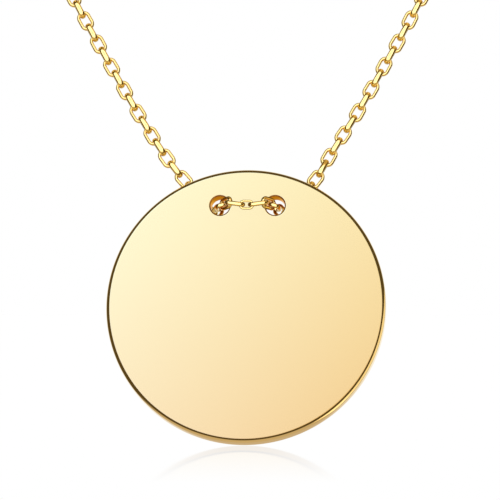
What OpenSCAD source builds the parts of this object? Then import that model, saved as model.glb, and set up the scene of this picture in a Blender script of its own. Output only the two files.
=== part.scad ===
// Disc pendant on its own fine cable chain, as it hangs on a wearer.
// The origin is at the nape, where the clasp sits. +X is the wearer's left, -Y the front, +Z up.

/* [Disc] */
// Diameter of the disc
disc_d = 25; // [20:0.5:32]
// Thickness of the disc
disc_t = 1.5; // [1.2:0.1:2]
// Radius of the softened outer edge, front and back
edge_r = 0.32; // [0.1:0.02:0.5]
// Diameter of the two holes
hole_d = 1.7; // [1.6:0.02:2.2]
// Distance between the holes' centres
hole_gap = 4.94; // [4.5:0.02:6.5]
// Distance from the disc's top edge down to the holes' centres
hole_drop = 3.33; // [2.8:0.01:4.5]
// Radius of the softened edge round each hole
hole_edge_r = 0.12; // [0.06:0.01:0.18]

/* [Hang] */
// How far the disc's top leans back, in degrees
lean = 13.6; // [8:0.2:18]
// How far the disc is turned about the upright, in degrees
turn = 4.5; // [0:0.5:6]

/* [Chain] */
// Width of a link in the bow and the holes
link_w = 1.15; // [1.1:0.01:1.25]
// Width of a link in the legs and round the neck
leg_link_w = 1.3; // [1.15:0.01:1.4]
// Length of a link
link_l = 1.945; // [1.85:0.005:2.1]
// Diameter of the links' wire
wire_d = 0.3; // [0.26:0.01:0.32]
// Diameter of the wire of the small link in the middle of the bow
middle_wire_d = 0.19; // [0.15:0.01:0.22]
// Gap between the two links that meet in that small link
middle_gap = 0.18; // [0.12:0.01:0.25]
// Clearance between their wire and the small link's
link_room = 0.105; // [0.1:0.005:0.15]
// Clearance between the chain and the disc
chain_gap = 0.12; // [0.1:0.01:0.2]
// Real links on each side of the middle link
side_links = 48; // [24:1:60]

/* [Clasp] */
// Outer diameter of the clasp's ring
clasp_d = 5.6; // [5:0.1:7]
// Diameter of the clasp ring's wire
clasp_wire_d = 1.1; // [0.9:0.05:1.4]
// Outer diameter of the two eyes on the clasp
eye_d = 2.1; // [1.8:0.05:2.6]
// Diameter of the eyes' wire
eye_wire_d = 0.45; // [0.35:0.05:0.6]

/* [Hidden] */

// Where the midpoint between the holes lies on the front face, from the nape
hang = [0, -100, -123.4];

// The chain's chosen route on the wearer's left, from that midpoint: above the disc,
// over the side of the neck and round to the nape. The other side mirrors it.
ROUTE = [
    [7.4, 3.3, 4.5],
    [9.95, 4.3, 8.5],
    [12.3, 5.3, 12.6],
    [14.7, 6.3, 16.9],
    [18.4, 8.1, 24],
    [23.1, 10.5, 34],
    [28.6, 13.5, 46.5],
    [34.6, 17.6, 61.5],
    [40.3, 23, 77.5],
    [45, 30.3, 93],
    [48, 40, 106.7],
    [49.3, 52, 116.3],
    [48.7, 65, 121.6],
    [44.5, 78, 124],
    [36.2, 88.5, 124.4],
    [25, 95.5, 124],
    [12.5, 99, 123.6],
    [0, 100, 123.4],
    [-12.5, 99, 123.6]
];

// The chain's chosen steps past the disc: across, off the face from where a chain lies on it, and up.
// The bow's ends count from the holes' inner edges, its top from the middle, the rest from a hole's middle.
bow_end = [0.26, 0.2, 0.05];
bow_top = [0, 0.49, -0.21];
in_hole = [-0.22, 0, 0.04];
BEHIND = [
    [0.51, -0.28, -0.43],
    [2.02, 0.2, 1.1],
    [3.29, 0.05, 2.67]
];

// Steps between two points of the route
route_steps = 20;
// Most that a link is turned about the chain from square to the link before it, in degrees
twist_max = 13;
// Links on each side that lie in the bow and the hole, and how far those past them face up, in degrees
bow_links = 5;
leg_tilt = 6;
// Links on each side that turn the nearer way. Past them every second link faces front.
free_links = 4;
// Rings along the plain tube on each side, and its sides
tube_rings = 40;
tube_sides = 8;
// A direction that the chain never takes, which keeps the tube's sides from turning
tube_level = [0, -0.4, 0.9];
// Sides of a wire, a small bend, a hole and the disc
wire_fn = 16;
bend_fn = 24;
hole_fn = 64;
disc_fn = 160;
// How far a cut runs past the face that it opens
cut_past = 1;

// The bow links' bends, and every link's straights and pitch: a bend's centre lies in the next link's wire
bend_r = (link_w - wire_d) / 2;
straight_l = link_l - link_w;
pitch = straight_l + bend_r;

// The disc's own directions: across, out of its front face and up its face
across = [cos(turn), -sin(turn), 0];
out = [-sin(turn) * cos(lean), -cos(turn) * cos(lean), sin(lean)];
up = [sin(turn) * sin(lean), cos(turn) * sin(lean), cos(lean)];

// The directions that every second link faces, or stands square to: in the bow, and in the legs past it
front = [0, -1, 0];
leg_front = [0, -cos(leg_tilt), sin(leg_tilt)];

// Distance from the middle of the disc's thickness to the middle of a chain that lies on a face
lie = disc_t / 2 + chain_gap + link_w / 2;
hole_x = hole_gap / 2;
hole_r = hole_d / 2;

// A point from the midpoint between the holes: x across, n out from mid thickness, w up the face
function on_disc(x, n, w) = hang + across * x + out * (n - disc_t / 2) + up * w;
function in_front(x, step) = on_disc(x, lie + step[1], step[2]);
function in_back(x, step) = on_disc(x, -lie - step[1], step[2]);

// The route's points where the disc sets them: the middle of the front, over a hole's inner edge,
// through the hole, out behind it, and up behind the disc to its rim. side is 1 or -1.
function near_points(side) = [
    in_front(-side * (hole_x - hole_r + bow_end[0]), bow_end),
    in_front(0, bow_top),
    in_front(side * (hole_x - hole_r + bow_end[0]), bow_end),
    on_disc(side * (hole_x + in_hole[0]), in_hole[1], in_hole[2]),
    for (step = BEHIND) in_back(side * (hole_x + step[0]), step)
];

function route_points(side) = concat(
    near_points(side),
    [for (p = ROUTE) hang + [side * p[0], p[1], p[2]]]
);

// A smooth curve through every point but the first and last
function curve(a, b, c, d, s) =
    0.5 * (2 * b + (c - a) * s + (2 * a - 5 * b + 4 * c - d) * s * s
        + (3 * b - a - 3 * c + d) * s * s * s);
function smooth(p) = [
    for (i = [1 : len(p) - 3], k = [0 : route_steps - 1])
        curve(p[i - 1], p[i], p[i + 1], p[i + 2], k / route_steps)
];

function unit(v) = v / norm(v);
function turned(v, axis, a) =
    v * cos(a) + cross(axis, v) * sin(a) + axis * (axis * v) * (1 - cos(a));
function squared(v, axis) = unit(v - axis * (v * axis));
function clamp(v, most) = max(-most, min(most, v));

// The first place on the path from i on that is a distance from q
function ahead(path, i, q, distance) =
    norm(path[i] - q) >= distance ? i : ahead(path, i + 1, q, distance);
function place(path, i, q, distance) =
    let (a = norm(path[i - 1] - q), b = norm(path[i] - q))
    path[i - 1] + (path[i] - path[i - 1]) * (distance - a) / (b - a);

// A link is its two bend centres, the direction square to its plane, and how far along the path it is.
// Each link bends from the last one in that link's plane, then in its own, which is about square to it.
function next_link(path, link, k) =
    let (
        p = link[0], q = link[1], face = link[2],
        t = unit(q - p),
        i = ahead(path, link[3] + 1, q, pitch),
        target = place(path, i, q, pitch),
        first = atan2((target - q) * cross(face, t), (target - q) * t),
        heading = turned(t, face, first),
        square = cross(heading, face),
        facing = k < bow_links ? front : leg_front,
        flat = squared(facing, heading),
        edge_on = squared(cross(facing, heading), heading),
        face_on = k < free_links ? abs(flat * square) > abs(edge_on * square) : k % 2 == 1,
        level = face_on ? flat : edge_on,
        near = level * square < 0 ? -level : level,
        twist = clamp(atan2(cross(square, near) * heading, square * near), twist_max),
        own = turned(square, heading, twist),
        start = q + heading * bend_r,
        second = atan2((target - start) * cross(own, heading), (target - start) * heading),
        along = turned(heading, own, second)
    )
    [start, start + along * straight_l, own, i - 1];

function walk(path, link, k = 0) =
    k == side_links ? [] :
    let (next = next_link(path, link, k))
    concat([next], walk(path, next, k + 1));

// The small middle link: each side's first link passes through one of its bend centres
middle_w = wire_d + 2 * middle_wire_d + 2 * link_room;
middle_reach = (wire_d + middle_gap) / 2;
middle = in_front(0, bow_top);

function middle_link(side) = [
    middle - across * side * middle_reach,
    middle + across * side * middle_reach,
    squared(front, across),
    0
];
function side_chain(side) = walk(smooth(route_points(side)), middle_link(side));

// One oval link, its wire of diameter d bent round two centres and soldered shut
module link(l, width, length, d) {
    t = unit(l[1] - l[0]);
    f = cross(l[2], t);
    b = l[2];
    c = (l[0] + l[1]) / 2;
    radius = (width - d) / 2;
    straight = length - width;
    multmatrix([
        [t[0], f[0], b[0], c[0]],
        [t[1], f[1], b[1], c[1]],
        [t[2], f[2], b[2], c[2]],
        [0, 0, 0, 1]
    ]) union() {
        for (end = [-1, 1])
            translate([end * straight / 2, 0, 0]) rotate([0, 0, -90 * end]) link_bend(radius, d);
        for (y = [-radius, radius])
            translate([-straight / 2, y, 0]) rotate([0, 90, 0]) cylinder(d = d, h = straight, $fn = wire_fn);
    }
}

module link_bend(radius, d) {
    rotate_extrude(angle = 180, $fn = bend_fn) translate([radius, 0]) circle(d = d, $fn = wire_fn);
}

module front_chain() {
    color("goldenrod") {
        link(middle_link(1), middle_w, middle_w + 2 * middle_reach, middle_wire_d);
        for (side = [-1, 1]) {
            links = side_chain(side);
            for (k = [0 : side_links - 1]) link(links[k], k < bow_links ? link_w : leg_link_w, link_l, wire_d);
        }
    }
}

// The plain tube that stands for the rest of the chain on one side
function tube_points(side) =
    let (
        path = smooth(route_points(side)),
        last = side_chain(side)[side_links - 1],
        from = last[1] + unit(last[1] - last[0]) * (bend_r + wire_d / 2 + chain_gap),
        rest = [for (i = [last[3] + 2 : len(path) - 1]) if (abs(path[i][0]) > clasp_reach) path[i]],
        whole = concat([from], [for (p = rest) if (norm(p - from) > link_l) p], [[side * clasp_reach, 0, 0]])
    )
    [for (k = [0 : tube_rings]) along(whole, total(whole) * k / tube_rings)];

function total(p, i = 1) = i >= len(p) ? 0 : norm(p[i] - p[i - 1]) + total(p, i + 1);
function along(p, d, i = 1) =
    let (step = norm(p[i] - p[i - 1]))
    i == len(p) - 1 || d <= step
        ? p[i - 1] + (p[i] - p[i - 1]) * min(1, d / step)
        : along(p, d - step, i + 1);

module tube(points, d) {
    n = len(points);
    rings = [
        for (k = [0 : n - 1])
            let (
                t = unit(points[min(k + 1, n - 1)] - points[max(k - 1, 0)]),
                side = unit(cross(t, tube_level)),
                over = cross(t, side)
            )
            for (s = [0 : tube_sides - 1])
                points[k] + (side * cos(360 * s / tube_sides) + over * sin(360 * s / tube_sides)) * d / 2
    ];
    polyhedron(
        points = rings,
        faces = concat(
            [[for (s = [0 : tube_sides - 1]) s]],
            [
                for (k = [0 : n - 2], s = [0 : tube_sides - 1])
                    let (a = k * tube_sides, z = (s + 1) % tube_sides)
                    [a + s, a + tube_sides + s, a + tube_sides + z, a + z]
            ],
            [[for (s = [tube_sides - 1 : -1 : 0]) (n - 1) * tube_sides + s]]
        )
    );
}

module neck_chain() {
    color("darkgoldenrod")
        for (side = [-1, 1]) tube(tube_points(side), leg_link_w);
}

// The clasp's eyes stand in its ring's rim, and the chain ends a gap away from them
clasp_r = (clasp_d - clasp_wire_d) / 2;
eye_r = (eye_d - eye_wire_d) / 2;
eye_x = clasp_d / 2 + eye_r;
clasp_reach = eye_x + eye_d / 2 + chain_gap;

module clasp() {
    color("gold") rotate([90, 0, 0]) {
        rotate_extrude($fn = hole_fn) translate([clasp_r, 0]) circle(d = clasp_wire_d, $fn = bend_fn);
        for (x = [-eye_x, eye_x]) translate([x, 0, 0])
            rotate_extrude($fn = hole_fn) translate([eye_r, 0]) circle(d = eye_wire_d, $fn = wire_fn);
    }
}

// A plain round plate, cut and polished, with both edges softened and two drilled holes
module disc() {
    color("khaki")
        multmatrix([
            [across[0], up[0], out[0], hang[0]],
            [across[1], up[1], out[1], hang[1]],
            [across[2], up[2], out[2], hang[2]],
            [0, 0, 0, 1]
        ])
        difference() {
            translate([0, hole_drop - disc_d / 2, -disc_t]) plate();
            for (x = [-hole_x, hole_x]) translate([x, 0, -disc_t]) hole();
        }
}

module plate() {
    r = disc_d / 2;
    rotate_extrude($fn = disc_fn) {
        square([r - edge_r, disc_t]);
        translate([0, edge_r]) square([r, disc_t - 2 * edge_r]);
        for (y = [edge_r, disc_t - edge_r]) translate([r - edge_r, y]) circle(r = edge_r, $fn = bend_fn);
    }
}

// A drilled hole whose rims are rounded over, front and back
module hole() {
    translate([0, 0, -cut_past]) cylinder(r = hole_r, h = disc_t + 2 * cut_past, $fn = hole_fn);
    translate([0, 0, disc_t]) rounded_rim();
    mirror([0, 0, 1]) rounded_rim();
}

// What a rounded rim takes away round a hole, below and above the face at z = 0
module rounded_rim() {
    reach = hole_r + hole_edge_r;
    rotate_extrude($fn = hole_fn) difference() {
        translate([0, -hole_edge_r]) square([reach, hole_edge_r + cut_past]);
        translate([reach, -hole_edge_r]) circle(r = hole_edge_r, $fn = bend_fn);
    }
}

disc();
front_chain();
neck_chain();
clasp();
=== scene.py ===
"""A plain round disc pendant on its own fine cable chain, with its real links, its polish and the studio."""

import math

import bmesh
import bpy
from mathutils import Matrix, Vector


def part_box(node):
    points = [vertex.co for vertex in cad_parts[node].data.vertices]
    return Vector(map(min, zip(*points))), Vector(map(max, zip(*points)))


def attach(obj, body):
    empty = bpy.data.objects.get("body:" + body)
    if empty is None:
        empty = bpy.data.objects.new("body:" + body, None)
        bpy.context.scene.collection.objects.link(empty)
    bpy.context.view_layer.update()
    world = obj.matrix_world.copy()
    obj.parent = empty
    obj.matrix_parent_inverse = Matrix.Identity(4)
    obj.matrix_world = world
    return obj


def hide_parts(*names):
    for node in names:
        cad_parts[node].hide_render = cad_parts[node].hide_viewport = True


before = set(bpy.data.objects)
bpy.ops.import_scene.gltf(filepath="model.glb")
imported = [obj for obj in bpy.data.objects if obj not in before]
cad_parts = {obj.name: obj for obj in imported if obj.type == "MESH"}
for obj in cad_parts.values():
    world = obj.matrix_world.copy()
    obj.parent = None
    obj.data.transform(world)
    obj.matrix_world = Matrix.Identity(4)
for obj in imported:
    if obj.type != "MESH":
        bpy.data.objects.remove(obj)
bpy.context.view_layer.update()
MM = 0.001

# The camera stands level in front of the disc with a long lens, as in a close product shot.
# The disc hangs a little turned, so the view itself is straight on.
PHOTO_PX = 500
PX_MM = 0.0893
VIEW_CENTRE_MM = (0.22, -127.37)
HANG_MM = Vector((0, -100, -123.4))
CAMERA_AWAY_MM = 1500
SENSOR_MM = 36

camera_data = bpy.data.cameras.new("camera")
camera_data.sensor_width = SENSOR_MM
camera_data.lens = SENSOR_MM * CAMERA_AWAY_MM / (PHOTO_PX * PX_MM)
camera_data.clip_start = 0.05
camera_data.clip_end = 20
camera = bpy.data.objects.new("camera", camera_data)
camera.location = Vector((VIEW_CENTRE_MM[0], HANG_MM.y - CAMERA_AWAY_MM, VIEW_CENTRE_MM[1])) * MM
camera.rotation_euler = (math.radians(90), 0, 0)
bpy.context.scene.collection.objects.link(camera)
bpy.context.scene.camera = camera

# The disc: a plain round plate of gold-plated brass, 25 mm across and 1.5 mm thick. It is stamped, its edges
# are rounded over in the tumbler, two holes are drilled near its top edge, and it is polished to a mirror.
# It leans back from the top and is turned a little to its right, as the chain holds it.
DISC_D = 25
DISC_T = 1.5
EDGE_R = 0.32
HOLE_D = 1.7
HOLE_GAP = 4.94
HOLE_DROP = 3.33
HOLE_EDGE_R = 0.12
LEAN = math.radians(13.6)
TURN = math.radians(4.5)
DISC_SIDES = 288
HOLE_SIDES = 96
EDGE_STEPS = 14
HOLE_EDGE_STEPS = 6
FLAT_MARGIN = 0.06
# Haze follows the middle of a noise, as shares of the metal's own roughness. Hairs run along the height.
HAZE_NOISE = (0.3, 0.7)
HAZE_SHARES = (0.85, 1.2)
HAIR_STRETCH = 0.12

across = Vector((math.cos(TURN), -math.sin(TURN), 0))
out = Vector((-math.sin(TURN) * math.cos(LEAN), -math.cos(TURN) * math.cos(LEAN), math.sin(LEAN)))
up = Vector((math.sin(TURN) * math.sin(LEAN), math.cos(TURN) * math.sin(LEAN), math.cos(LEAN)))


def to_linear(hex_colour):
    """An sRGB hex colour as linear red, green, blue and alpha."""
    parts = [int(hex_colour[i:i + 2], 16) / 255 for i in (1, 3, 5)]
    return [c / 12.92 if c <= 0.04045 else ((c + 0.055) / 1.055) ** 2.4 for c in parts] + [1]


def add(tree, kind, inputs=None, **settings):
    """Adds a node, with its settings, and with sockets linked or values set on its inputs."""
    node = tree.nodes.new(kind)
    for name, value in settings.items():
        setattr(node, name, value)
    for key, value in (inputs or {}).items():
        if isinstance(value, bpy.types.NodeSocket):
            tree.links.new(value, node.inputs[key])
        else:
            node.inputs[key].default_value = value
    return node


def plated_gold(name, colour, roughness, haze_mm, hair_mm, hair_height_mm):
    """Gold plate over brass: a mirror with faint haze in patches and hair-fine polishing lines."""
    material = bpy.data.materials.new(name)
    material.use_nodes = True
    tree = material.node_tree
    shader = tree.nodes["Principled BSDF"]
    shader.inputs["Metallic"].default_value = 1
    shader.inputs["Base Color"].default_value = to_linear(colour)
    place = add(tree, "ShaderNodeTexCoord").outputs["Object"]
    haze = add(tree, "ShaderNodeTexNoise", {"Vector": place, "Scale": 1 / (haze_mm * MM), "Detail": 3})
    rough = add(tree, "ShaderNodeMapRange", {
        "Value": haze.outputs["Fac"],
        "From Min": HAZE_NOISE[0],
        "From Max": HAZE_NOISE[1],
        "To Min": roughness * HAZE_SHARES[0],
        "To Max": roughness * HAZE_SHARES[1],
    })
    tree.links.new(rough.outputs["Result"], shader.inputs["Roughness"])
    lines = add(tree, "ShaderNodeMapping", {"Vector": place, "Scale": (1, 1, HAIR_STRETCH)})
    hairs = add(tree, "ShaderNodeTexNoise", {
        "Vector": lines.outputs["Vector"],
        "Scale": 1 / (hair_mm * MM),
        "Detail": 4,
    })
    bump = add(tree, "ShaderNodeBump", {"Height": hairs.outputs["Fac"], "Distance": hair_height_mm * MM})
    tree.links.new(bump.outputs["Normal"], shader.inputs["Normal"])
    return material


def edge_profile(radius, edge_r, thick, steps, inwards):
    """Rings of a rounded edge as radius and depth, from the front face to the back; inwards for a hole."""
    side = -1 if inwards else 1
    start = radius - side * edge_r
    rings = [(start - side * FLAT_MARGIN, 0)]
    for i in range(steps + 1):
        a = math.pi / 2 * i / steps
        rings.append((start + side * edge_r * math.sin(a), -edge_r * (1 - math.cos(a))))
    for i in range(steps + 1):
        a = math.pi / 2 * (1 - i / steps)
        rings.append((start + side * edge_r * math.sin(a), -thick + edge_r * (1 - math.cos(a))))
    rings.append((start - side * FLAT_MARGIN, -thick))
    return rings


def lathe(mesh, centre, rings, sides):
    """Turns a profile about an upright axis, and returns the edges of its first and last ring."""
    loops = []
    for radius, depth in rings:
        loops.append([
            mesh.verts.new((
                centre[0] + radius * math.cos(2 * math.pi * s / sides),
                centre[1] + radius * math.sin(2 * math.pi * s / sides),
                depth,
            ))
            for s in range(sides)
        ])
    for one, two in zip(loops, loops[1:]):
        for s in range(sides):
            t = (s + 1) % sides
            mesh.faces.new((one[s], one[t], two[t], two[s]))
    return [
        [mesh.edges.get((loop[s], loop[(s + 1) % sides])) for s in range(sides)]
        for loop in (loops[0], loops[-1])
    ]


def finished(mesh, name, place=None):
    """Puts a mesh in its place, points its faces outwards and smooths them."""
    if place:
        bmesh.ops.transform(mesh, matrix=place, verts=mesh.verts)
    bmesh.ops.recalc_face_normals(mesh, faces=mesh.faces)
    data = bpy.data.meshes.new(name)
    mesh.to_mesh(data)
    mesh.free()
    data.shade_smooth()
    piece = bpy.data.objects.new(name, data)
    bpy.context.scene.collection.objects.link(piece)
    return piece


plate = bmesh.new()
middle = (0, HOLE_DROP - DISC_D / 2)
front_edges, back_edges = lathe(
    plate, middle, edge_profile(DISC_D / 2, EDGE_R, DISC_T, EDGE_STEPS, False), DISC_SIDES
)
for side in (-1, 1):
    rings = edge_profile(HOLE_D / 2, HOLE_EDGE_R, DISC_T, HOLE_EDGE_STEPS, True)
    front, back = lathe(plate, (side * HOLE_GAP / 2, 0), rings, HOLE_SIDES)
    front_edges += front
    back_edges += back
for edges in (front_edges, back_edges):
    bmesh.ops.triangle_fill(plate, use_beauty=True, use_dissolve=False, edges=edges)
disc_place = Matrix((
    (across.x, up.x, out.x, HANG_MM.x),
    (across.y, up.y, out.y, HANG_MM.y),
    (across.z, up.z, out.z, HANG_MM.z),
    (0, 0, 0, 1),
))
disc = finished(plate, "polished_disc", Matrix.Scale(MM, 4) @ disc_place)
# A mirror polish, which shows the soft box as one even glow. Its hairs are drawn coarser than real ones.
disc.data.materials.append(plated_gold(
    "mirror_polished_gold_plate", "#F8DFA4", roughness=0.06, haze_mm=6, hair_mm=0.05, hair_height_mm=0.00002
))
# The bores are rougher than the face. Their deeper, browner gold and warm edge tint are painted shade inside
# the holes.
bore_gold_painted_shade = plated_gold(
    "gold_plated_bore_painted_shade", "#E0A050", roughness=0.2, haze_mm=0.5, hair_mm=0.05, hair_height_mm=0.0005
)
bore_gold_painted_shade.node_tree.nodes["Principled BSDF"].inputs["Specular Tint"].default_value = to_linear("#FFDC90")
disc.data.materials.append(bore_gold_painted_shade)
hole_axes = [HANG_MM + side * across * HOLE_GAP / 2 for side in (-1, 1)]
# Faces round the holes take the bore finish, with its painted shade.
for face in disc.data.polygons:
    centre = face.center / MM
    away = min(((centre - axis) - (centre - axis).dot(out) * out).length for axis in hole_axes)
    face.material_index = int(away < HOLE_D / 2 + HOLE_EDGE_R)
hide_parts("disc")
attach(disc, "root")

# The chain: fine soldered cable chain of gold-plated brass wire, each oval link square to the next and drawn
# tight against it. It comes down behind the disc, goes forward through one hole, crosses in a short bow and
# goes back through the other hole.
LINK_W = 1.15
LEG_LINK_W = 1.3
WIRE_D = 0.32
WIRE_THICK = 0.4
LEG_WIRE_THICK = 0.52
PITCH = 1.22
LINK_PLAY = 0.02
LINK_L = PITCH + 2 * WIRE_D + LINK_PLAY
BEND_R = 0.425
CHAIN_GAP = 0.12
SIDE_LINKS = 48
TWIST_MAX = math.radians(13)
MIDDLE_WIRE_D = 0.2
MIDDLE_REACH = 0.24
MIDDLE_W = 0.87
MIDDLE_L = MIDDLE_W + 2 * MIDDLE_REACH
BOW_LINKS = 5
FREE_LINKS = 4
FRONT = Vector((0, -1, 0))
LEG_TILT = math.radians(6)
LEG_FACING = Vector((0, -math.cos(LEG_TILT), math.sin(LEG_TILT)))
ROUTE_STEPS = 20
LIE = DISC_T / 2 + CHAIN_GAP + LINK_W / 2
HOLE_X = HOLE_GAP / 2
INNER_EDGE = HOLE_X - HOLE_D / 2
BOW_END = (0.26, 0.2, 0.05)
BOW_TOP = (0, 0.49, -0.21)
IN_HOLE = (-0.22, 0, 0.04)
BEHIND = [(0.51, -0.28, -0.43), (2.02, 0.2, 1.1), (3.29, 0.05, 2.67)]
ROUTE = [
    (7.4, 3.3, 4.5),
    (9.95, 4.3, 8.5),
    (12.3, 5.3, 12.6),
    (14.7, 6.3, 16.9),
    (18.4, 8.1, 24),
    (23.1, 10.5, 34),
    (28.6, 13.5, 46.5),
    (34.6, 17.6, 61.5),
    (40.3, 23, 77.5),
    (45, 30.3, 93),
    (48, 40, 106.7),
    (49.3, 52, 116.3),
    (48.7, 65, 121.6),
    (44.5, 78, 124),
    (36.2, 88.5, 124.4),
    (25, 95.5, 124),
    (12.5, 99, 123.6),
    (0, 100, 123.4),
    (-12.5, 99, 123.6),
]
CLASP_D = 5.6
EYE_D = 2.1
EYE_WIRE_D = 0.45
CLASP_REACH = CLASP_D / 2 + (EYE_D - EYE_WIRE_D) / 2 + EYE_D / 2 + CHAIN_GAP
# Facets of each stretch, round a link's outline and round its wire
MIDDLE_FACETS = (40, 16)
BOW_FACETS = (32, 16)
SHOWN_FACETS = (24, 12)
HIDDEN_FACETS = (14, 6)


def on_disc(x, n, w):
    """A point from the midpoint between the holes: x across, n out from mid thickness, w up the face."""
    return HANG_MM + across * x + out * (n - DISC_T / 2) + up * w


def route_points(side):
    """The route's points on one side, from the bow on to the nape. side is 1 or -1."""
    near = [
        on_disc(-side * (INNER_EDGE + BOW_END[0]), LIE + BOW_END[1], BOW_END[2]),
        on_disc(0, LIE + BOW_TOP[1], BOW_TOP[2]),
        on_disc(side * (INNER_EDGE + BOW_END[0]), LIE + BOW_END[1], BOW_END[2]),
        on_disc(side * (HOLE_X + IN_HOLE[0]), IN_HOLE[1], IN_HOLE[2]),
    ]
    near += [on_disc(side * (HOLE_X + x), -LIE - n, w) for x, n, w in BEHIND]
    return near + [HANG_MM + Vector((side * x, y, z)) for x, y, z in ROUTE]


def smooth(points):
    """A smooth curve through every point but the first and last."""
    path = []
    for a, b, c, d in zip(points, points[1:], points[2:], points[3:]):
        for k in range(ROUTE_STEPS):
            s = k / ROUTE_STEPS
            path.append(0.5 * (2 * b + (c - a) * s + (2 * a - 5 * b + 4 * c - d) * s * s
                               + (3 * b - a - 3 * c + d) * s ** 3))
    return path


def turned(vector, axis, angle):
    """A vector turned about an axis."""
    return Matrix.Rotation(angle, 3, axis) @ vector


def walk(side):
    """The links of one side, each as its two bend centres and the direction square to its plane."""
    path = smooth(route_points(side))
    centre = on_disc(0, LIE + BOW_TOP[1], BOW_TOP[2])
    heading = across * side
    end = centre + heading * MIDDLE_REACH
    along, face = heading, (FRONT - heading * FRONT.dot(heading)).normalized()
    links = []
    i = 0
    while True:
        i += 1
        while i < len(path) and (path[i] - end).length < PITCH:
            i += 1
        if i >= len(path) or abs(path[i].x) < CLASP_REACH and path[i].y > HANG_MM.y / 2:
            return links
        a, b = (path[i - 1] - end).length, (path[i] - end).length
        target = path[i - 1] + (path[i] - path[i - 1]) * (PITCH - a) / (b - a)
        i -= 1
        away = target - end
        heading = turned(along, face, math.atan2(away.dot(face.cross(along)), away.dot(along)))
        square = heading.cross(face)
        facing = FRONT if len(links) < BOW_LINKS else LEG_FACING
        wishes = [
            (wish - heading * wish.dot(heading)).normalized()
            for wish in (facing, facing.cross(heading))
        ]
        if len(links) < FREE_LINKS:
            level = max(wishes, key=lambda wish: abs(wish.dot(square)))
        else:
            level = wishes[(len(links) + 1) % 2]
        if level.dot(square) < 0:
            level = -level
        twist = math.atan2(square.cross(level).dot(heading), square.dot(level))
        face = turned(square, heading, max(-TWIST_MAX, min(TWIST_MAX, twist)))
        start = end + heading * BEND_R
        away = target - start
        along = turned(heading, face, math.atan2(away.dot(face.cross(heading)), away.dot(heading)))
        end = start + along * (PITCH - BEND_R)
        links.append((start, end, face))


def new_tree(name, *inputs):
    """An empty geometry node group with a geometry input and output and named inputs."""
    tree = bpy.data.node_groups.new(name, "GeometryNodeTree")
    tree.interface.new_socket("Geometry", in_out="INPUT", socket_type="NodeSocketGeometry")
    tree.interface.new_socket("Geometry", in_out="OUTPUT", socket_type="NodeSocketGeometry")
    for label, kind in inputs:
        tree.interface.new_socket(label, in_out="INPUT", socket_type=kind)
    return tree


def set_inputs(modifier, **values):
    """Sets a modifier's inputs by their sockets' identifiers."""
    sockets = {s.name: s.identifier for s in modifier.node_group.interface.items_tree if s.in_out == "INPUT"}
    for label, value in values.items():
        modifier[sockets[label]] = value


def link_tree():
    """Sets one soldered oval link, a wire bent round two centres, on each point, lying as its point says."""
    tree = new_tree(
        "cable_links",
        ("link_w", "NodeSocketFloat"),
        ("link_l", "NodeSocketFloat"),
        ("wire_d", "NodeSocketFloat"),
        ("wire_thick", "NodeSocketFloat"),
        ("outline_sides", "NodeSocketInt"),
        ("wire_sides", "NodeSocketInt"),
        ("finish", "NodeSocketMaterial"),
    )
    given = add(tree, "NodeGroupInput").outputs

    between_bars = add(tree, "ShaderNodeMath", {0: given["link_w"], 1: given["wire_d"]}, operation="SUBTRACT")
    bend_r = add(tree, "ShaderNodeMath", {0: between_bars.outputs[0], 1: 0.5}, operation="MULTIPLY")
    straight = add(tree, "ShaderNodeMath", {0: given["link_l"], 1: given["link_w"]}, operation="SUBTRACT")
    half_run = add(tree, "ShaderNodeMath", {0: straight.outputs[0], 1: 0.5}, operation="MULTIPLY")
    ring = add(tree, "GeometryNodeCurvePrimitiveCircle", {
        "Resolution": given["outline_sides"],
        "Radius": bend_r.outputs[0],
    })
    spot = add(tree, "ShaderNodeSeparateXYZ", {0: add(tree, "GeometryNodeInputPosition").outputs[0]})
    end = add(tree, "ShaderNodeMath", {0: spot.outputs["X"]}, operation="SIGN")
    reach = add(tree, "ShaderNodeMath", {0: end.outputs[0], 1: half_run.outputs[0]}, operation="MULTIPLY")
    shift = add(tree, "ShaderNodeCombineXYZ", {"X": reach.outputs[0]})
    oval = add(tree, "GeometryNodeSetPosition", {"Geometry": ring.outputs[0], "Offset": shift.outputs[0]})
    wire_r = add(tree, "ShaderNodeMath", {0: given["wire_d"], 1: 0.5}, operation="MULTIPLY")
    wire = add(tree, "GeometryNodeCurvePrimitiveCircle", {
        "Resolution": given["wire_sides"],
        "Radius": wire_r.outputs[0],
    })
    ratio = add(tree, "ShaderNodeMath", {0: given["wire_thick"], 1: given["wire_d"]}, operation="DIVIDE")
    flat = add(tree, "ShaderNodeCombineXYZ", {"X": 1.0, "Y": ratio.outputs[0], "Z": 1.0})
    drawn = add(tree, "GeometryNodeTransform", {"Geometry": wire.outputs[0], "Scale": flat.outputs[0]})
    link = add(tree, "GeometryNodeCurveToMesh", {"Curve": oval.outputs[0], "Profile Curve": drawn.outputs[0]})
    soft = add(tree, "GeometryNodeSetShadeSmooth", {"Geometry": link.outputs[0]})
    heading = add(tree, "GeometryNodeInputNamedAttribute", {"Name": "heading"}, data_type="FLOAT_VECTOR")
    face = add(tree, "GeometryNodeInputNamedAttribute", {"Name": "face"}, data_type="FLOAT_VECTOR")
    lie = add(
        tree, "FunctionNodeAxesToRotation",
        {"Primary Axis": heading.outputs[0], "Secondary Axis": face.outputs[0]},
        primary_axis="X", secondary_axis="Z",
    )
    laid = add(tree, "GeometryNodeInstanceOnPoints", {
        "Points": given["Geometry"],
        "Instance": soft.outputs[0],
        "Rotation": lie.outputs[0],
    })
    real = add(tree, "GeometryNodeRealizeInstances", {"Geometry": laid.outputs[0]})
    coated = add(tree, "GeometryNodeSetMaterial", {"Geometry": real.outputs[0], "Material": given["finish"]})
    add(tree, "NodeGroupOutput", {"Geometry": coated.outputs[0]})
    return tree


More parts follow.
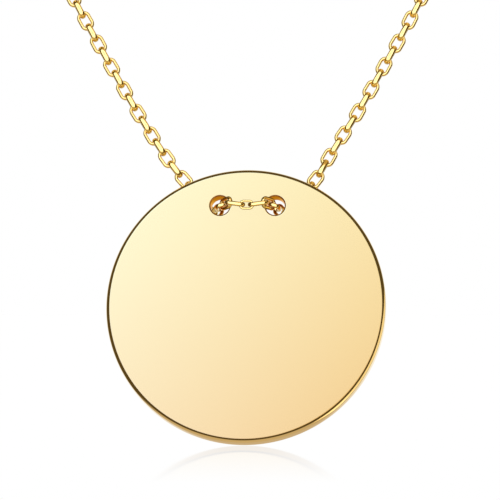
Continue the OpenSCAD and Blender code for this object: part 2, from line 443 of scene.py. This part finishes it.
def made_plain(guide, name):
    """The evaluated result of a guide's modifiers as a plain mesh object; the guide goes."""
    seen = guide.evaluated_get(bpy.context.evaluated_depsgraph_get())
    data = bpy.data.meshes.new_from_object(seen)
    data.name = name
    piece = bpy.data.objects.new(name, data)
    bpy.context.scene.collection.objects.link(piece)
    bpy.data.objects.remove(guide)
    return piece


def chain(name, links, facets, width, length, wire_d, wire_thick):
    """Makes a stretch of links as one plain mesh. Only each link's middle, heading and face count."""
    points = bpy.data.meshes.new(name + "_points")
    points.from_pydata([(a + b) / 2 * MM for a, b, face in links], [], [])
    for label, values in (
        ("heading", [(b - a).normalized() for a, b, face in links]),
        ("face", [face for a, b, face in links]),
    ):
        attribute = points.attributes.new(label, "FLOAT_VECTOR", "POINT")
        attribute.data.foreach_set("vector", [c for v in values for c in v])
    guide = bpy.data.objects.new(name + "_points", points)
    bpy.context.scene.collection.objects.link(guide)
    modifier = guide.modifiers.new("links", "NODES")
    modifier.node_group = cable_links
    set_inputs(
        modifier,
        link_w=width * MM,
        link_l=length * MM,
        wire_d=wire_d * MM,
        wire_thick=wire_thick * MM,
        outline_sides=facets[0],
        wire_sides=facets[1],
        finish=chain_gold,
    )
    piece = made_plain(guide, name)
    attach(piece, "root")
    return piece


cable_links = link_tree()
# Drawn wire, tumbled bright, so each bar shows one narrow highlight
chain_gold = plated_gold(
    "bright_gold_plated_wire", "#F2D580", roughness=0.15, haze_mm=0.8, hair_mm=0.03, hair_height_mm=0.0002
)
right, left = walk(1), walk(-1)
middle_face = (FRONT - across * FRONT.dot(across)).normalized()
middle_place = on_disc(0, LIE + BOW_TOP[1], BOW_TOP[2])
middle_spot = (middle_place - across, middle_place + across, middle_face)
middle_link = chain("middle_link", [middle_spot], MIDDLE_FACETS,
                    MIDDLE_W, MIDDLE_L, MIDDLE_WIRE_D, MIDDLE_WIRE_D)
bow_chain = chain("bow_links", left[:BOW_LINKS] + right[:BOW_LINKS], BOW_FACETS,
                  LINK_W, LINK_L, WIRE_D, WIRE_THICK)
shown_chain = chain("front_links", left[BOW_LINKS:SIDE_LINKS] + right[BOW_LINKS:SIDE_LINKS], SHOWN_FACETS,
                    LEG_LINK_W, LINK_L, WIRE_D, LEG_WIRE_THICK)
hidden_chain = chain("neck_links", left[SIDE_LINKS:] + right[SIDE_LINKS:], HIDDEN_FACETS,
                     LEG_LINK_W, LINK_L, WIRE_D, LEG_WIRE_THICK)
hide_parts("front_chain")
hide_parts("front_chain")
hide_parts("front_chain")
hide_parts("neck_chain")
middle_link.visible_glossy = False
bow_chain.visible_glossy = False

# The clasp at the nape: one plain ring with two fixed eyes, cast and polished, that joins the chain's ends.
# Nothing of it shows from the front.
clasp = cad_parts["clasp"]
# A cast piece polished by hand, a little softer than the disc
clasp_gold = plated_gold(
    "cast_gold_plated_clasp", "#F4D08A", roughness=0.14, haze_mm=1.5, hair_mm=0.05, hair_height_mm=0.0002
)
clasp.data.materials.clear()
clasp.data.materials.append(clasp_gold)

# The studio: a white gloss floor just under the disc, a white sweep behind, a dark room in front, and a soft
# box that the disc's face mirrors towards the camera. Two soft lights are for the chain and clasp alone, and
# one for the disc alone, for its rim. The floor's mirror fades between two distances in front of the nape.
FLOOR_GAP_MM = 0.02
FLOOR_SIZE = 6
FLOOR_ROUGH = 0.02
MIRROR_STARTS = 0.126
MIRROR_ENDS = 0.344
MIRROR_SHARE = 0.24
SOFTBOX_AWAY = 0.3
SOFTBOX_SIZE = 0.12
SOFTBOX_RAMP = 0.02
# Radiance at the soft box's middle, and what it gains along each of its own axes
SOFTBOX_MIDDLE = (1.038, 1.092, 1.29)
SOFTBOX_SLOPES = (("X", (0.061, 0.187, 0.482)), ("Y", (0.059, 0.197, 0.32)))
LAMP_AWAY = 0.3
LAMP_ABOVE_HOLES_MM = 8
WHITE = to_linear("#FFFFFF")
ROOM_DARK = to_linear("#594B2B")
ROOM_LOW = to_linear("#CEBCA2")
# Where the room turns white behind and below, and warm low down, by the height or depth of a direction
BEHIND_FADE = (0.45, 0.75)
BELOW_FADE = (-0.45, -0.65)
LOW_FADE = (-0.15, -0.4)


def emission(name, build):
    """A material of pure light, whose colour and strength the given function works out."""
    material = bpy.data.materials.new(name)
    material.use_nodes = True
    tree = material.node_tree
    tree.nodes.remove(tree.nodes["Principled BSDF"])
    build(tree, tree.nodes["Material Output"])
    return material


def sheet(name, centre, facing, width, height, material):
    """A flat rectangle that faces a direction, for the floor and the lights' surfaces."""
    data = bpy.data.meshes.new(name)
    corners = [(-width / 2, -height / 2, 0), (width / 2, -height / 2, 0),
               (width / 2, height / 2, 0), (-width / 2, height / 2, 0)]
    data.from_pydata(corners, [], [(0, 1, 2, 3)])
    data.materials.append(material)
    board = bpy.data.objects.new(name, data)
    board.location = centre
    board.rotation_euler = facing.to_track_quat("Z", "Y").to_euler()
    bpy.context.scene.collection.objects.link(board)
    return board


def floor_surface(tree, output):
    """White gloss: its own even white, with a thin mirror over it that fades out in front of the disc."""
    place = add(tree, "ShaderNodeTexCoord").outputs["Object"]
    share = add(tree, "ShaderNodeMapRange", {
        "Value": add(tree, "ShaderNodeSeparateXYZ", {0: place}).outputs["Y"],
        "From Min": MIRROR_ENDS,
        "From Max": MIRROR_STARTS,
        "To Max": MIRROR_SHARE,
    })
    white = add(tree, "ShaderNodeEmission", {"Color": WHITE, "Strength": 1})
    gloss = add(tree, "ShaderNodeBsdfGlossy", {"Color": WHITE, "Roughness": FLOOR_ROUGH})
    both = add(tree, "ShaderNodeMixShader", {0: share.outputs[0], 1: white.outputs[0], 2: gloss.outputs[0]})
    tree.links.new(both.outputs[0], output.inputs["Surface"])


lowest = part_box("disc")[0].z
floor = sheet("floor", Vector((0, 0, lowest - FLOOR_GAP_MM * MM)), Vector((0, 0, 1)), FLOOR_SIZE, FLOOR_SIZE,
              emission("white_gloss_board", floor_surface))
floor.visible_glossy = False
floor.visible_diffuse = False

disc_middle = (HANG_MM + up * (HOLE_DROP - DISC_D / 2)) * MM
view_dir = (disc_middle - camera.location).normalized()
mirrored = view_dir - 2 * view_dir.dot(out) * out


def softbox_surface(tree, output):
    """A soft light that is brightest towards one corner and falls off evenly across."""
    place = add(tree, "ShaderNodeTexCoord").outputs["Object"]
    spot = add(tree, "ShaderNodeSeparateXYZ", {0: place})
    colour = SOFTBOX_MIDDLE
    for axis, change in SOFTBOX_SLOPES:
        share = add(tree, "ShaderNodeMapRange", {
            "Value": spot.outputs[axis],
            "From Min": -SOFTBOX_RAMP,
            "From Max": SOFTBOX_RAMP,
            "To Min": -1,
            "To Max": 1,
        })
        colour = add(tree, "ShaderNodeVectorMath", {0: share.outputs[0], 1: change, 2: colour},
                     operation="MULTIPLY_ADD").outputs[0]
    light = add(tree, "ShaderNodeEmission", {"Color": colour, "Strength": 1})
    tree.links.new(light.outputs[0], output.inputs["Surface"])


softbox = sheet("softbox", disc_middle + mirrored * SOFTBOX_AWAY, -mirrored, SOFTBOX_SIZE, SOFTBOX_SIZE,
                emission("softbox_cloth", softbox_surface))
softbox.visible_camera = False


def lit_set(name, *pieces):
    """The pieces that one lamp lights."""
    lit = bpy.data.collections.new(name)
    for piece in pieces:
        lit.objects.link(piece)
    return lit


def soft_light(name, lit, direction, size, radiance, colour):
    """A soft square light of even radiance, for some pieces alone, in a direction from the disc's top."""
    lamp_data = bpy.data.lights.new(name, "AREA")
    lamp_data.shape = "SQUARE"
    lamp_data.size = size
    lamp_data.energy = radiance * math.pi * size * size
    lamp_data.color = to_linear(colour)[:3]
    lamp = bpy.data.objects.new(name, lamp_data)
    lamp.location = (HANG_MM + Vector((0, 0, LAMP_ABOVE_HOLES_MM))) * MM + direction.normalized() * LAMP_AWAY
    lamp.rotation_euler = direction.to_track_quat("Z", "Y").to_euler()
    lamp.visible_camera = False
    lamp.light_linking.receiver_collection = lit
    bpy.context.scene.collection.objects.link(lamp)


chain_lit = lit_set("lit_by_chain_lights", middle_link, bow_chain, shown_chain, hidden_chain, clasp)
soft_light("chain_key", chain_lit, Vector((-0.15, -1, 0.2)), size=0.7, radiance=2.5, colour="#DCE0FF")
soft_light("chain_fill", chain_lit, Vector((0.5, -0.1, 1)), size=0.4, radiance=0.5, colour="#FFD9A0")
rim_lit = lit_set("lit_by_rim_light", disc)
soft_light("rim_light", rim_lit, Vector((1, -0.15, -0.35)), size=0.4, radiance=0.95, colour="#FFF2D6")

world = bpy.data.worlds.new("studio")
world.use_nodes = True
bpy.context.scene.world = world
tree = world.node_tree
way = add(tree, "ShaderNodeSeparateXYZ", {0: add(tree, "ShaderNodeTexCoord").outputs["Generated"]}).outputs
behind = add(tree, "ShaderNodeMapRange", {
    "Value": way["Y"],
    "From Min": BEHIND_FADE[0],
    "From Max": BEHIND_FADE[1],
})
below = add(tree, "ShaderNodeMapRange", {
    "Value": way["Z"],
    "From Min": BELOW_FADE[0],
    "From Max": BELOW_FADE[1],
})
low = add(tree, "ShaderNodeMapRange", {
    "Value": way["Z"],
    "From Min": LOW_FADE[0],
    "From Max": LOW_FADE[1],
})
# A Mix node's colours are its inputs 6 and 7 and its output 2.
lit = add(tree, "ShaderNodeMath", {0: behind.outputs[0], 1: below.outputs[0]}, operation="MAXIMUM")
bright = add(tree, "ShaderNodeMix", {0: low.outputs[0], 6: WHITE, 7: ROOM_LOW}, data_type="RGBA")
room = add(tree, "ShaderNodeMix", {0: lit.outputs[0], 6: ROOM_DARK, 7: bright.outputs[2]}, data_type="RGBA")
seen = add(tree, "ShaderNodeMix", {
    0: add(tree, "ShaderNodeLightPath").outputs["Is Camera Ray"],
    6: room.outputs[2],
    7: WHITE,
}, data_type="RGBA")
tree.links.new(seen.outputs[2], tree.nodes["Background"].inputs["Color"])
bpy.context.scene.view_settings.view_transform = "Standard"
